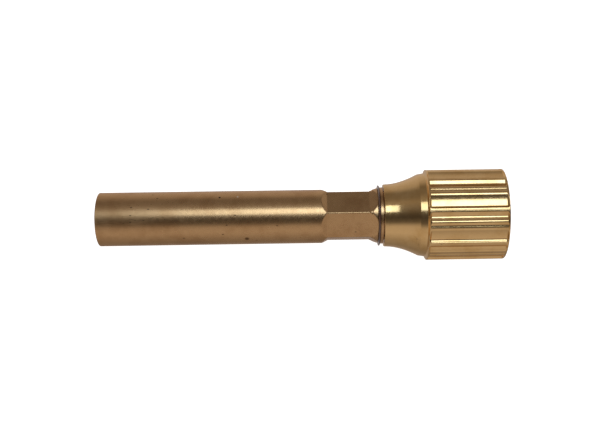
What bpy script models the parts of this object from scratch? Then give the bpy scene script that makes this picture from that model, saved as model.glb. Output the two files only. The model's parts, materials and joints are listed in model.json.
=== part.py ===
"""Hand-held direct-vision spectroscope with a fluted slit-setting head.

Units are metres. The optical axis runs along X: the eye end is at -X and the
slit end at +X. The origin is on the axis, half way along the instrument. The
wrench flats face +Y and -Y, so one corner of their hexagon points up.

Stations along the instrument are measured from the eye end, and x_at() turns
a station into a place on X. Angles round the axis are measured from +Y
towards +Z, in degrees.
"""

import bpy
import bmesh
from math import cos, degrees, pi, radians, sin, tan
from mathutils import Matrix

# ---------------------------------------------------------------- dimensions
LENGTH = 0.1504              # whole instrument, eye end to slit end
TUBE_RADIUS = 0.0100         # standard 20 mm tube
BORE_RADIUS = 0.0075
EDGE_BREAK = 0.0003          # small chamfer on every turned outer edge

EYE_BORE_RADIUS = 0.0088     # wider bore that takes the eyepiece
EYE_BORE_DEPTH = 0.0300

FIT = 0.0003                 # gap between two pieces that slide or screw together
CLOSE_FIT = 0.0002           # gap between small pieces

LINER_START = 0.0062         # felt liner in the wider bore
LINER_END = 0.0294
LINER_INNER_RADIUS = 0.0083
LINER_OUTER_RADIUS = 0.0086
EYE_TUBE_START = 0.0048
EYE_TUBE_END = 0.0282
EYE_TUBE_INNER_RADIUS = 0.0072
EYE_TUBE_OUTER_RADIUS = 0.0081
EYE_CAP_START = 0.0003
EYE_CAP_APERTURE = 0.0035
EYE_CAP_WEB_START = 0.0030   # the web round the aperture, behind the dished face
EYE_CAP_WEB_END = 0.0040
EYE_CAP_DISH_START = 0.0009
EYE_CAP_DISH_RADIUS = 0.0057
EYE_CAP_LIP_RADIUS = 0.0061
EYE_CAP_RADIUS = 0.0085
EYE_CAP_END = 0.0046         # end of the flange
EYE_CAP_SKIRT_END = 0.0078   # end of the skirt inside the eyepiece tube
EYE_CAP_SKIRT_RADIUS = 0.0070
EYE_CAP_SKIRT_BORE = 0.0060
EYE_LENS_START = 0.0043
EYE_LENS_RADIUS = 0.0057
EYE_LENS_EDGE = 0.0012
EYE_LENS_BULGE = 0.0011
RETAINER_START = 0.0064
RETAINER_END = 0.0076
RETAINER_INNER_RADIUS = 0.0046
RETAINER_OUTER_RADIUS = 0.0058

ACROSS_FLATS = 0.0170        # wrench flats
FLATS_START = 0.0848
FLATS_END = 0.1009
FLAT_RAMP_ANGLE = 34.0       # slope of the run-out at both ends of a flat

COLLAR_START = 0.1013
COLLAR_END = 0.1036
COLLAR_RADIUS = 0.0104

O_RING_STATION = 0.1044
O_RING_SECTION = 0.0014
O_RING_RADIUS = 0.01145      # outside of the ring
O_RING_SEAT_RADIUS = 0.00975
O_RING_SEAT_END = 0.1054

SPIGOT_RADIUS = 0.0090       # the head turns on this
SPIGOT_END = 0.1380

HEAD_START = 0.1057          # neck of the turning head
HEAD_RADIUS = 0.01693
NECK_RADIUS = 0.01160
FLARE_START = 0.1075
FLARE_END = 0.1184
FLARE_START_RADIUS = 0.01170
FLARE_END_RADIUS = 0.01520
FLARE_POWER = 1.9            # how hollow the curve of the flare is
BAND_END = 0.1213
BAND_END_RADIUS = 0.01562
GRIP_START = 0.1220          # where the step up reaches the full radius
HEAD_NECK_BORE = 0.00925
HEAD_NECK_BORE_END = 0.1100
HEAD_CAVITY_RADIUS = 0.0112
HEAD_SHOULDER = 0.1425       # the cam plate is screwed to this shoulder
HEAD_FRONT_BORE = 0.0142

GROOVE_REPEATS = 8           # pairs of grooves round the grip
WIDE_GROOVE_ANGLE = 80.36    # middle of the first wide groove
WIDE_GROOVE_HALF_WIDTH = 0.00266
WIDE_GROOVE_DEPTH = 0.00100
WIDE_GROOVE_LEAN = 0.00110   # its floor lies this far to one side
WIDE_GROOVE_FLOOR = 0.00090  # half width of its floor
NARROW_GROOVE_ANGLE = 55.31
NARROW_GROOVE_HALF_WIDTH = 0.00169
NARROW_GROOVE_DEPTH = 0.00094
NARROW_GROOVE_LEAN = 0.0
NARROW_GROOVE_FLOOR = 0.00045
GROOVE_START = 0.1223
GROOVE_END = 0.1501
GROOVE_END_SLOPE = 50.0

PRISM_HALF = 0.0038          # half the side of the square prism section
PRISM_FACE_ANGLE = 50.0      # slant of the cemented faces
PRISM_PITCH = 0.0099         # between the middles of neighbouring faces
PRISM_END_LENGTH = 0.0056    # from an end face to the middle of the first slant
PRISM_GAP = 0.0002
PRISM_TRAIN_START = 0.0345
CELL_RADIUS = 0.0073         # everything that is pushed into the bore
CELL_CHANNEL_HALF_WIDTH = 0.0041
CELL_CHANNEL_HALF_HEIGHT = 0.0049
CELL_OVERHANG = 0.0010       # the prism cell runs this far past the prisms
CORK_INSET = 0.0020          # from the ends of the cell to the cork pad
CORK_HALF_WIDTH = 0.0032
CORK_LOW = -0.0047
CORK_HIGH = -0.0040
SPRING_INSET = 0.0030
SPRING_HALF_WIDTH = 0.0025
SPRING_HEIGHT = 0.00405      # of its ends above the axis
SPRING_BOW = 0.00040
SPRING_THICKNESS = 0.00020
CELL_RING_THICKNESS = 0.0019
CELL_RING_INNER_RADIUS = 0.0050

COLLIMATOR_START = 0.0842
COLLIMATOR_LENGTH = 0.0080
COLLIMATOR_LIP = 0.0010
COLLIMATOR_LIP_RADIUS = 0.0054
COLLIMATOR_SEAT_RADIUS = 0.0063
COLLIMATOR_LENS_RADIUS = 0.0061
CROWN_LENS_PLACE = 0.0022    # from the start of the cell to the lens's rim
CROWN_LENS_EDGE = 0.0008
CROWN_LENS_BULGES = (0.0008, 0.0010)
FLINT_LENS_PLACE = 0.0032
FLINT_LENS_EDGE = 0.0022
FLINT_LENS_BULGES = (-0.0010, 0.0)
COLLIMATOR_RING_PLACE = 0.0057
COLLIMATOR_RING_END = 0.0075
COLLIMATOR_RING_RADIUS = 0.0052
BAFFLE_THICKNESS = 0.0010
BAFFLE_REAR_START = 0.1010
BAFFLE_REAR_RADIUS = 0.0042
BAFFLE_FRONT_START = 0.1190
BAFFLE_FRONT_RADIUS = 0.0032

SLIT_BASE_START = 0.1330     # flanged plug in the end of the spigot
SLIT_BASE_SHOULDER = 0.1383
SLIT_BASE_END = 0.1402
SLIT_BASE_RADIUS = 0.0109
SLIT_BASE_BORE = 0.0035
SLIT_BASE_HOLE_START = 0.1387

HEAD_TURN = 120.0            # degrees the head can be turned
SLIT_GAP = 0.0003            # between the jaws with the head at rest
JAW_TRAVEL = 0.0006          # of each jaw, over the whole turn
JAW_START = 0.1405
JAW_THICKNESS = 0.0009
JAW_LENGTH = 0.0094
JAW_HALF_WIDTH = 0.0030
JAW_PIN_PLACE = 0.0075       # distance of each jaw's pin from the axis
JAW_PIN_RADIUS = 0.0007
JAW_PIN_END = 0.1436
JAW_KNIFE = 0.0007           # width of the bevel behind each slit edge
JAW_GUIDE_OUTER = 0.0068
JAW_GUIDE_HALF_LENGTH = 0.0073

CAM_START = 0.1426
CAM_THICKNESS = 0.0012
CAM_RADIUS = 0.0139
CAM_WINDOW_RADIUS = 0.0045
CAM_SLOT_HALF_WIDTH = 0.0010
CAM_SCREW_CIRCLE = 0.0128
CAM_SCREW_ANGLES = (30.0, 150.0, 270.0)

GUIDE_SCREW_Y = 0.0052
GUIDE_SCREW_Z = 0.0050
SCREW_SHANK_RADIUS = 0.0006
SCREW_HEAD_RADIUS = 0.0011
SCREW_HOLE_RADIUS = 0.0009
SCREW_SLOT_HALF_WIDTH = 0.00016
GUIDE_SCREW_HEAD = 0.0006    # height of the head
GUIDE_SCREW_SHANK = 0.0025
CAM_SCREW_HEAD = 0.0007
CAM_SCREW_SHANK = 0.0042
SHOULDER_HOLE_DEPTH = 0.0032

SPACER_START = 0.1441
SPACER_END = 0.1453
SPACER_INNER_RADIUS = 0.0120
WINDOW_START = 0.1455
WINDOW_END = 0.1475
WINDOW_RADIUS = 0.0139
SEAL_START = 0.1477
SEAL_END = 0.1481
SEAL_INNER_RADIUS = 0.0121
RETAINING_RING_START = 0.1483
RETAINING_RING_END = 0.1499
RETAINING_RING_INNER_RADIUS = 0.0119
FRONT_FIT_RADIUS = 0.0140    # outside of what is pushed into the front bore
SPANNER_SLOT_START = 0.1491
SPANNER_SLOT_HALF_WIDTH = 0.0006

WASHER_START = 0.1103        # what keeps the head on its spigot
WASHER_END = 0.1109
WASHER_OUTER_RADIUS = 0.0109
SPIGOT_RING_START = 0.1112
SPIGOT_RING_END = 0.1132
SPIGOT_RING_OUTER_RADIUS = 0.0108
SPIGOT_RING_INNER_RADIUS = 0.0092

FINE = 48                    # segments round the head
ROUND = 32                   # segments round the tube and the larger rings
SMALL = 24                   # segments round lenses and small rings
TINY = 10                    # segments round screws and pins
O_RING_SIDES = 10            # round the section of the O-ring
MERGE = 0.00001
REACH = 0.0020               # how far a cutter runs past what it cuts

# ------------------------------------------------------------------ materials
BRASS = ((0.60, 0.39, 0.17), 0.28, 1.0)
BRASS_HEAD = ((0.68, 0.46, 0.19), 0.22, 1.0)
BLACKENED = ((0.035, 0.032, 0.030), 0.55, 0.6)
STEEL = ((0.55, 0.55, 0.56), 0.30, 1.0)
RUBBER = ((0.025, 0.022, 0.022), 0.45, 0.0)
CORK = ((0.42, 0.28, 0.16), 0.90, 0.0)
FELT = ((0.10, 0.03, 0.03), 0.95, 0.0)
CROWN_GLASS = ((0.86, 0.92, 0.90), 0.04, 0.0)
FLINT_GLASS = ((0.90, 0.89, 0.78), 0.04, 0.0)


def x_at(station):
    """Place on X of a station measured from the eye end."""
    return station - LENGTH / 2


def clear_scene():
    for item in list(bpy.data.objects):
        bpy.data.objects.remove(item, do_unlink=True)


def new_collection(name):
    collection = bpy.data.collections.new(name)
    bpy.context.scene.collection.children.link(collection)
    return collection


def give_material(item, finish):
    colour, roughness, metallic = finish
    material = bpy.data.materials.new(item.name + "_finish")
    material.use_nodes = True
    shader = material.node_tree.nodes["Principled BSDF"]
    shader.inputs["Base Color"].default_value = (*colour, 1.0)
    shader.inputs["Roughness"].default_value = roughness
    shader.inputs["Metallic"].default_value = metallic
    if finish in (CROWN_GLASS, FLINT_GLASS):
        shader.inputs["Transmission Weight"].default_value = 1.0
    item.data.materials.append(material)


def link_part(name, mesh, finish, smooth=True):
    item = bpy.data.objects.new(name, mesh)
    parts.objects.link(item)
    give_material(item, finish)
    if smooth:
        mesh.shade_smooth()
        mesh.set_sharp_from_angle(angle=radians(30))
    return item


# ---------------------------------------------------------------- basic shapes
def outline_mesh(name, outline, closed, segments):
    """Edges for the Screw modifier from (station, radius) points.

    The points run along the outside from the eye end to the slit end. Screw
    wants the outside from top to bottom, so they are taken in reverse. They
    start half a segment round, so that a flat facet and not an edge lies at
    the bottom.
    """
    half = pi / segments
    points = [(radius * cos(half), radius * sin(half), station)
              for station, radius in reversed(outline)]
    count = len(points)
    edges = [(i, i + 1) for i in range(count - 1)]
    if closed:
        edges.append((count - 1, 0))
    mesh = bpy.data.meshes.new(name)
    mesh.from_pydata(points, edges, [])
    return mesh


def spin(item, segments):
    """Turn an outline about the instrument's axis."""
    screw = item.modifiers.new("turn", "SCREW")
    screw.axis = "Z"
    screw.angle = 2 * pi
    screw.steps = segments
    screw.render_steps = segments
    screw.use_merge_vertices = True
    screw.merge_threshold = MERGE
    screw.use_smooth_shade = True


def lay_along_x(item, y=0.0, z=0.0):
    """Local Z of a turned piece becomes world X."""
    item.rotation_euler = (0.0, pi / 2, 0.0)
    item.location = (x_at(0.0), y, z)


def turned(name, outline, finish, segments=ROUND, closed=True, y=0.0, z=0.0):
    """A turned piece from (station, radius) points.

    A closed outline makes a ring. An open one starts and ends on the axis.
    """
    mesh = outline_mesh(name, outline, closed, segments)
    item = link_part(name, mesh, finish, smooth=False)
    spin(item, segments)
    lay_along_x(item, y, z)
    return item


def ring(name, start, end, inner, outer, finish, segments=ROUND, edge=0.0):
    """A plain ring, with an optional chamfer on its outer edges."""
    outline = [(start, inner)]
    if edge > 0:
        outline += [(start, outer - edge), (start + edge, outer)]
        outline += [(end - edge, outer), (end, outer - edge)]
    else:
        outline += [(start, outer), (end, outer)]
    outline.append((end, inner))
    return turned(name, outline, finish, segments)


def box_mesh(name, low, high):
    """A box between two corners, from a cube primitive."""
    shape = bmesh.new()
    bmesh.ops.create_cube(shape, size=1.0)
    for vert in shape.verts:
        for axis in range(3):
            middle = (low[axis] + high[axis]) / 2
            vert.co[axis] = middle + vert.co[axis] * (high[axis] - low[axis])
    mesh = bpy.data.meshes.new(name)
    shape.to_mesh(mesh)
    shape.free()
    return mesh


def add_prism_shape(shape, flat_points, depth_vector):
    """A closed prism: an outline swept along a vector, added to a bmesh."""
    near = [shape.verts.new(point) for point in flat_points]
    face = shape.faces.new(near)
    swept = bmesh.ops.extrude_face_region(shape, geom=[face])
    far = [item for item in swept["geom"] if isinstance(item, bmesh.types.BMVert)]
    bmesh.ops.translate(shape, verts=far, vec=depth_vector)
    return near + far


def add_cylinder(shape, radius, start, end, y, z, segments):
    """A cylinder along X between two stations, added to a bmesh."""
    middle = Matrix.Translation((x_at((start + end) / 2), y, z))
    bmesh.ops.create_cone(shape, cap_ends=True, segments=segments, radius1=radius,
                          radius2=radius, depth=end - start,
                          matrix=middle @ Matrix.Rotation(pi / 2, 4, "Y"))


def finish_cutter(name, shape):
    bmesh.ops.recalc_face_normals(shape, faces=shape.faces)
    mesh = bpy.data.meshes.new(name)
    shape.to_mesh(mesh)
    shape.free()
    item = bpy.data.objects.new(name, mesh)
    cutters.objects.link(item)
    item.hide_render = True
    item.display_type = "WIRE"
    return item


def cut(item, cutter):
    boolean = item.modifiers.new("cut_" + cutter.name, "BOOLEAN")
    boolean.operation = "DIFFERENCE"
    boolean.solver = "EXACT"
    boolean.object = cutter


def round_the_axis(radius, angle):
    """Y and Z of a point at a radius and an angle in degrees."""
    return radius * cos(radians(angle)), radius * sin(radians(angle))


# -------------------------------------------------------------------- main tube
def wrench_flat_cutter():
    """Six wedges that leave a hexagon, with a sloping run-out at each end."""
    top = TUBE_RADIUS + REACH
    apothem = ACROSS_FLATS / 2
    run_out = (top - apothem) / tan(radians(FLAT_RAMP_ANGLE))
    half_width = ACROSS_FLATS / 2
    wedges = []
    for number in range(6):
        shape = bmesh.new()
        outline = [
            (x_at(FLATS_START), -half_width, apothem),
            (x_at(FLATS_END), -half_width, apothem),
            (x_at(FLATS_END + run_out), -half_width, top),
            (x_at(FLATS_START - run_out), -half_width, top),
        ]
        add_prism_shape(shape, outline, (0.0, 2 * half_width, 0.0))
        turn = Matrix.Rotation(radians(60 * number + 90), 4, "X")
        bmesh.ops.transform(shape, matrix=turn, verts=shape.verts)
        wedges.append(finish_cutter("flat_cutter_%d" % (number + 1), shape))
    return wedges


def make_main_tube():
    seat = O_RING_SEAT_RADIUS
    outline = [
        (0.0, EYE_BORE_RADIUS + EDGE_BREAK),
        (0.0, TUBE_RADIUS - EDGE_BREAK),
        (EDGE_BREAK, TUBE_RADIUS),
        (COLLAR_START, TUBE_RADIUS),
        (COLLAR_START + EDGE_BREAK, COLLAR_RADIUS),
        (COLLAR_END - EDGE_BREAK, COLLAR_RADIUS),
        (COLLAR_END, COLLAR_RADIUS - EDGE_BREAK),
        (COLLAR_END, seat),
        (O_RING_SEAT_END, seat),
        (O_RING_SEAT_END, SPIGOT_RADIUS),
        (SPIGOT_END - EDGE_BREAK, SPIGOT_RADIUS),
        (SPIGOT_END, SPIGOT_RADIUS - EDGE_BREAK),
        (SPIGOT_END, BORE_RADIUS),
        (EYE_BORE_DEPTH, BORE_RADIUS),
        (EYE_BORE_DEPTH, EYE_BORE_RADIUS),
        (EDGE_BREAK, EYE_BORE_RADIUS),
    ]
    tube = turned("main_tube", outline, BRASS)
    for wedge in wrench_flat_cutter():
        cut(tube, wedge)
    return tube


# --------------------------------------------------------------------- eyepiece
def make_eyepiece():
    """The sliding eyepiece, pushed right in at rest, and its felt liner."""
    ring("draw_tube_liner", LINER_START, LINER_END, LINER_INNER_RADIUS,
         LINER_OUTER_RADIUS, FELT, SMALL)
    ring("eyepiece_tube", EYE_TUBE_START, EYE_TUBE_END, EYE_TUBE_INNER_RADIUS,
         EYE_TUBE_OUTER_RADIUS, BRASS, ROUND, EDGE_BREAK / 2)
    cap = [
        (EYE_CAP_START, EYE_CAP_LIP_RADIUS),
        (EYE_CAP_START, EYE_CAP_RADIUS - EDGE_BREAK),
        (EYE_CAP_START + EDGE_BREAK, EYE_CAP_RADIUS),
        (EYE_CAP_END - CLOSE_FIT, EYE_CAP_RADIUS),
        (EYE_CAP_END, EYE_CAP_RADIUS - CLOSE_FIT),
        (EYE_CAP_END, EYE_CAP_SKIRT_RADIUS),
        (EYE_CAP_SKIRT_END, EYE_CAP_SKIRT_RADIUS),
        (EYE_CAP_SKIRT_END, EYE_CAP_SKIRT_BORE),
        (EYE_CAP_WEB_END, EYE_CAP_SKIRT_BORE),
        (EYE_CAP_WEB_END, EYE_CAP_APERTURE),
        (EYE_CAP_WEB_START, EYE_CAP_APERTURE),
        (EYE_CAP_DISH_START, EYE_CAP_DISH_RADIUS),
    ]
    turned("eye_cap", cap, BRASS)
    lens = lens_outline(EYE_LENS_START, EYE_LENS_RADIUS, EYE_LENS_EDGE, 0.0, EYE_LENS_BULGE)
    turned("eye_lens", lens, CROWN_GLASS, SMALL, closed=False)
    ring("eye_lens_retainer", RETAINER_START, RETAINER_END, RETAINER_INNER_RADIUS,
         RETAINER_OUTER_RADIUS, BLACKENED, SMALL)


# ----------------------------------------------------------------------- optics
def lens_outline(start, radius, edge, left_bulge, right_bulge, points=4):
    """Half the section of a lens, from axis to axis.

    The rim's eye side is at start and the rim is edge thick. Each bulge is
    how far that face stands out at the axis, negative for a hollow face.
    """
    outline = []
    for i in range(points + 1):
        height = radius * i / points
        rise = 1 - (height / radius) ** 2
        outline.append((start - left_bulge * rise, height))
    for i in range(points, -1, -1):
        height = radius * i / points
        rise = 1 - (height / radius) ** 2
        outline.append((start + edge + right_bulge * rise, height))
    return outline


def slanted_block(name, left, left_lean, right, right_lean, finish):
    """A square bar whose end faces lean; left and right are at mid height."""
    mesh = box_mesh(name, (-1, -PRISM_HALF, -PRISM_HALF), (1, PRISM_HALF, PRISM_HALF))
    for vert in mesh.vertices:
        if vert.co.x < 0:
            vert.co.x = x_at(left) + left_lean * vert.co.z
        else:
            vert.co.x = x_at(right) + right_lean * vert.co.z
    return link_part(name, mesh, finish, smooth=False)


def prism_train_end():
    return PRISM_TRAIN_START + 2 * PRISM_END_LENGTH + 3 * PRISM_PITCH


def make_prism_train():
    """Three crown and two flint prisms in line, the dispersing element."""
    names = ("crown_prism_rear", "flint_prism_rear", "crown_prism_middle",
             "flint_prism_front", "crown_prism_front")
    lean = tan(radians(PRISM_FACE_ANGLE))
    left = PRISM_TRAIN_START
    left_lean = 0.0
    for number, name in enumerate(names):
        if number == len(names) - 1:
            right = prism_train_end()
            right_lean = 0.0
        else:
            right = PRISM_TRAIN_START + PRISM_END_LENGTH + number * PRISM_PITCH
            right_lean = lean if number % 2 == 0 else -lean
        finish = CROWN_GLASS if number % 2 == 0 else FLINT_GLASS
        slanted_block(name, left, left_lean, right - PRISM_GAP, right_lean, finish)
        left = right + PRISM_GAP
        left_lean = right_lean


def make_prism_cell():
    """A round cell with a rectangular channel, a cork pad and a leaf spring."""
    start = PRISM_TRAIN_START - CELL_OVERHANG
    end = prism_train_end() + CELL_OVERHANG
    shape = bmesh.new()
    add_cylinder(shape, CELL_RADIUS, start, end, 0.0, 0.0, SMALL)
    mesh = bpy.data.meshes.new("prism_cell")
    shape.to_mesh(mesh)
    shape.free()
    cell = link_part("prism_cell", mesh, BLACKENED)
    half_width = CELL_CHANNEL_HALF_WIDTH
    half_height = CELL_CHANNEL_HALF_HEIGHT
    channel = bmesh.new()
    outline = [
        (x_at(start) - REACH, -half_width, -half_height),
        (x_at(start) - REACH, half_width, -half_height),
        (x_at(start) - REACH, half_width, half_height),
        (x_at(start) - REACH, -half_width, half_height),
    ]
    add_prism_shape(channel, outline, (end - start + 2 * REACH, 0.0, 0.0))
    cut(cell, finish_cutter("channel_cutter", channel))

    pad_low = (x_at(start + CORK_INSET), -CORK_HALF_WIDTH, CORK_LOW)
    pad_high = (x_at(end - CORK_INSET), CORK_HALF_WIDTH, CORK_HIGH)
    link_part("prism_cork_pad", box_mesh("prism_cork_pad", pad_low, pad_high), CORK,
              smooth=False)
    make_leaf_spring(start + SPRING_INSET, end - SPRING_INSET)
    ring("prism_retaining_ring", end + FIT, end + FIT + CELL_RING_THICKNESS,
         CELL_RING_INNER_RADIUS, CELL_RADIUS, BLACKENED, SMALL)


def make_leaf_spring(start, end):
    """A thin bowed strip that presses the prisms onto the cork."""
    steps = 8
    shape = bmesh.new()
    bmesh.ops.create_grid(shape, x_segments=steps, y_segments=1, size=1.0)
    for vert in shape.verts:
        along = vert.co.x
        vert.co.x = x_at((start + end) / 2) + along * (end - start) / 2
        vert.co.y = vert.co.y * SPRING_HALF_WIDTH
        vert.co.z = SPRING_HEIGHT + SPRING_BOW * (1 - along ** 2)
    mesh = bpy.data.meshes.new("prism_leaf_spring")
    shape.to_mesh(mesh)
    shape.free()
    spring = link_part("prism_leaf_spring", mesh, STEEL)
    solidify = spring.modifiers.new("thickness", "SOLIDIFY")
    solidify.thickness = SPRING_THICKNESS
    solidify.offset = 1.0


def make_collimator():
    """A cemented pair of lenses in its cell, and two light baffles."""
    start = COLLIMATOR_START
    end = start + COLLIMATOR_LENGTH
    lens = COLLIMATOR_LENS_RADIUS
    cell = [
        (start, COLLIMATOR_LIP_RADIUS),
        (start, CELL_RADIUS),
        (end, CELL_RADIUS),
        (end, COLLIMATOR_SEAT_RADIUS),
        (start + COLLIMATOR_LIP, COLLIMATOR_SEAT_RADIUS),
        (start + COLLIMATOR_LIP, COLLIMATOR_LIP_RADIUS),
    ]
    turned("collimator_cell", cell, BLACKENED, SMALL)
    crown = lens_outline(start + CROWN_LENS_PLACE, lens, CROWN_LENS_EDGE, *CROWN_LENS_BULGES)
    turned("collimator_crown_lens", crown, CROWN_GLASS, SMALL, closed=False)
    flint = lens_outline(start + FLINT_LENS_PLACE, lens, FLINT_LENS_EDGE, *FLINT_LENS_BULGES)
    turned("collimator_flint_lens", flint, FLINT_GLASS, SMALL, closed=False)
    ring("collimator_retaining_ring", start + COLLIMATOR_RING_PLACE,
         start + COLLIMATOR_RING_END, COLLIMATOR_RING_RADIUS, lens, BLACKENED, SMALL)
    ring("baffle_rear", BAFFLE_REAR_START, BAFFLE_REAR_START + BAFFLE_THICKNESS,
         BAFFLE_REAR_RADIUS, CELL_RADIUS, BLACKENED, SMALL)
    ring("baffle_front", BAFFLE_FRONT_START, BAFFLE_FRONT_START + BAFFLE_THICKNESS,
         BAFFLE_FRONT_RADIUS, CELL_RADIUS, BLACKENED, SMALL)


# ------------------------------------------------------------------------- slit
def screw_outline(head_start, head_height, shank_length):
    """A cheese-head screw pointing towards the eye end."""
    return [
        (head_start - shank_length, 0.0),
        (head_start - shank_length, SCREW_SHANK_RADIUS),
        (head_start, SCREW_SHANK_RADIUS),
        (head_start, SCREW_HEAD_RADIUS),
        (head_start + head_height, SCREW_HEAD_RADIUS),
        (head_start + head_height, 0.0),
    ]


def make_screw(name, head_start, head_height, shank_length, y, z):
    """A slotted cheese-head screw; the slot is half the head's height."""
    outline = screw_outline(head_start, head_height, shank_length)
    screw = turned(name, outline, STEEL, TINY, closed=False, y=y, z=z)
    slot_half = SCREW_SLOT_HALF_WIDTH
    top = head_start + head_height
    shape = bmesh.new()
    outline = [
        (x_at(top - head_height / 2), y - slot_half, z - SCREW_HEAD_RADIUS - REACH),
        (x_at(top + REACH), y - slot_half, z - SCREW_HEAD_RADIUS - REACH),
        (x_at(top + REACH), y + slot_half, z - SCREW_HEAD_RADIUS - REACH),
        (x_at(top - head_height / 2), y + slot_half, z - SCREW_HEAD_RADIUS - REACH),
    ]
    add_prism_shape(shape, outline, (0.0, 0.0, 2 * (SCREW_HEAD_RADIUS + REACH)))
    cut(screw, finish_cutter(name + "_slot", shape))


def guide_screw_places():
    """Y and Z of the four guide screws."""
    places = []
    for z in (GUIDE_SCREW_Z, -GUIDE_SCREW_Z):
        for y in (-GUIDE_SCREW_Y, GUIDE_SCREW_Y):
            places.append((y, z))
    return places


def make_slit_base():
    """The flanged plug that closes the spigot and carries the jaws."""
    outline = [
        (SLIT_BASE_START, SLIT_BASE_BORE),
        (SLIT_BASE_START, CELL_RADIUS),
        (SLIT_BASE_SHOULDER, CELL_RADIUS),
        (SLIT_BASE_SHOULDER, SLIT_BASE_RADIUS),
        (SLIT_BASE_END, SLIT_BASE_RADIUS),
        (SLIT_BASE_END, SLIT_BASE_BORE),
    ]
    base = turned("slit_base", outline, BLACKENED)
    shape = bmesh.new()
    for y, z in guide_screw_places():
        add_cylinder(shape, SCREW_HOLE_RADIUS, SLIT_BASE_HOLE_START, SLIT_BASE_END + REACH,
                     y, z, TINY)
    cut(base, finish_cutter("base_screw_holes", shape))


def make_jaw_guides():
    """Two rails that the jaws slide between, and their screws."""
    end = JAW_START + JAW_THICKNESS
    for name, side in (("jaw_guide_upper", 1), ("jaw_guide_lower", -1)):
        inner = side * (JAW_HALF_WIDTH + CLOSE_FIT)
        outer = side * JAW_GUIDE_OUTER
        low = (x_at(JAW_START), -JAW_GUIDE_HALF_LENGTH, min(inner, outer))
        high = (x_at(end), JAW_GUIDE_HALF_LENGTH, max(inner, outer))
        guide = link_part(name, box_mesh(name, low, high), BLACKENED, smooth=False)
        shape = bmesh.new()
        for y, z in guide_screw_places():
            if z * side > 0:
                add_cylinder(shape, SCREW_HOLE_RADIUS, JAW_START - REACH, end + REACH,
                             y, z, TINY)
        cut(guide, finish_cutter(name + "_holes", shape))
    for number, (y, z) in enumerate(guide_screw_places()):
        make_screw("guide_screw_%d" % (number + 1), end + CLOSE_FIT, GUIDE_SCREW_HEAD,
                   GUIDE_SCREW_SHANK, y, z)


def make_jaws():
    """Two knife-edged slit jaws, each with the pin that its cam slot drives."""
    end = JAW_START + JAW_THICKNESS
    for name, side in (("right", 1), ("left", -1)):
        inner = side * SLIT_GAP / 2
        outer = side * JAW_LENGTH
        low = (x_at(JAW_START), min(inner, outer), -JAW_HALF_WIDTH)
        high = (x_at(end), max(inner, outer), JAW_HALF_WIDTH)
        mesh = box_mesh("slit_jaw_" + name, low, high)
        for vert in mesh.vertices:
            on_eye_side = vert.co.x < x_at(JAW_START + JAW_THICKNESS / 2)
            if on_eye_side and abs(vert.co.y) < JAW_KNIFE:
                vert.co.y = side * (SLIT_GAP / 2 + JAW_KNIFE)
        jaw = link_part("slit_jaw_" + name, mesh, STEEL, smooth=False)
        shape = bmesh.new()
        y = side * JAW_PIN_PLACE
        add_cylinder(shape, JAW_PIN_RADIUS + FIT, JAW_START - REACH, end + REACH,
                     y, 0.0, TINY)
        cut(jaw, finish_cutter("jaw_%s_hole" % name, shape))
        pin = [
            (JAW_START + CLOSE_FIT, 0.0),
            (JAW_START + CLOSE_FIT, JAW_PIN_RADIUS),
            (JAW_PIN_END, JAW_PIN_RADIUS),
            (JAW_PIN_END, 0.0),
        ]
        turned("jaw_pin_" + name, pin, STEEL, TINY, closed=False, y=y)


# ------------------------------------------------------------------------- head
def flare_outline():
    """The hollow curve between the neck and the band."""
    steps = 5
    points = []
    for i in range(steps + 1):
        along = i / steps
        station = FLARE_START + along * (FLARE_END - FLARE_START)
        rise = along ** FLARE_POWER
        radius = FLARE_START_RADIUS + rise * (FLARE_END_RADIUS - FLARE_START_RADIUS)
        points.append((station, radius))
    return points


def groove_section(half_width, depth, lean, floor):
    """Corners of a groove, across and out from the axis, drawn past the surface."""
    clear = REACH / 4
    left_run = (half_width + lean - floor) / depth
    right_run = (half_width - lean - floor) / depth
    return [
        (-half_width - left_run * clear, HEAD_RADIUS + clear),
        (lean - floor, HEAD_RADIUS - depth),
        (lean + floor, HEAD_RADIUS - depth),
        (half_width + right_run * clear, HEAD_RADIUS + clear),
    ]


def groove_cutter(name, first_angle, half_width, depth, lean, floor):
    """One kind of groove round the grip, with sloping closed ends."""
    section = groove_section(half_width, depth, lean, floor)
    slope = tan(radians(GROOVE_END_SLOPE))
    middle = x_at((GROOVE_START + GROOVE_END) / 2)
    length = GROOVE_END - GROOVE_START
    shape = bmesh.new()
    for place in range(GROOVE_REPEATS):
        start = [(x_at(GROOVE_START), across, out) for across, out in section]
        verts = add_prism_shape(shape, start, (length, 0.0, 0.0))
        for vert in verts:
            shorter = (HEAD_RADIUS - vert.co.z) / slope
            vert.co.x += shorter if vert.co.x < middle else -shorter
        angle = first_angle + place * 360 / GROOVE_REPEATS
        turn = Matrix.Rotation(radians(angle - 90), 4, "X")
        bmesh.ops.transform(shape, matrix=turn, verts=verts)
    return finish_cutter(name, shape)


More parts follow.
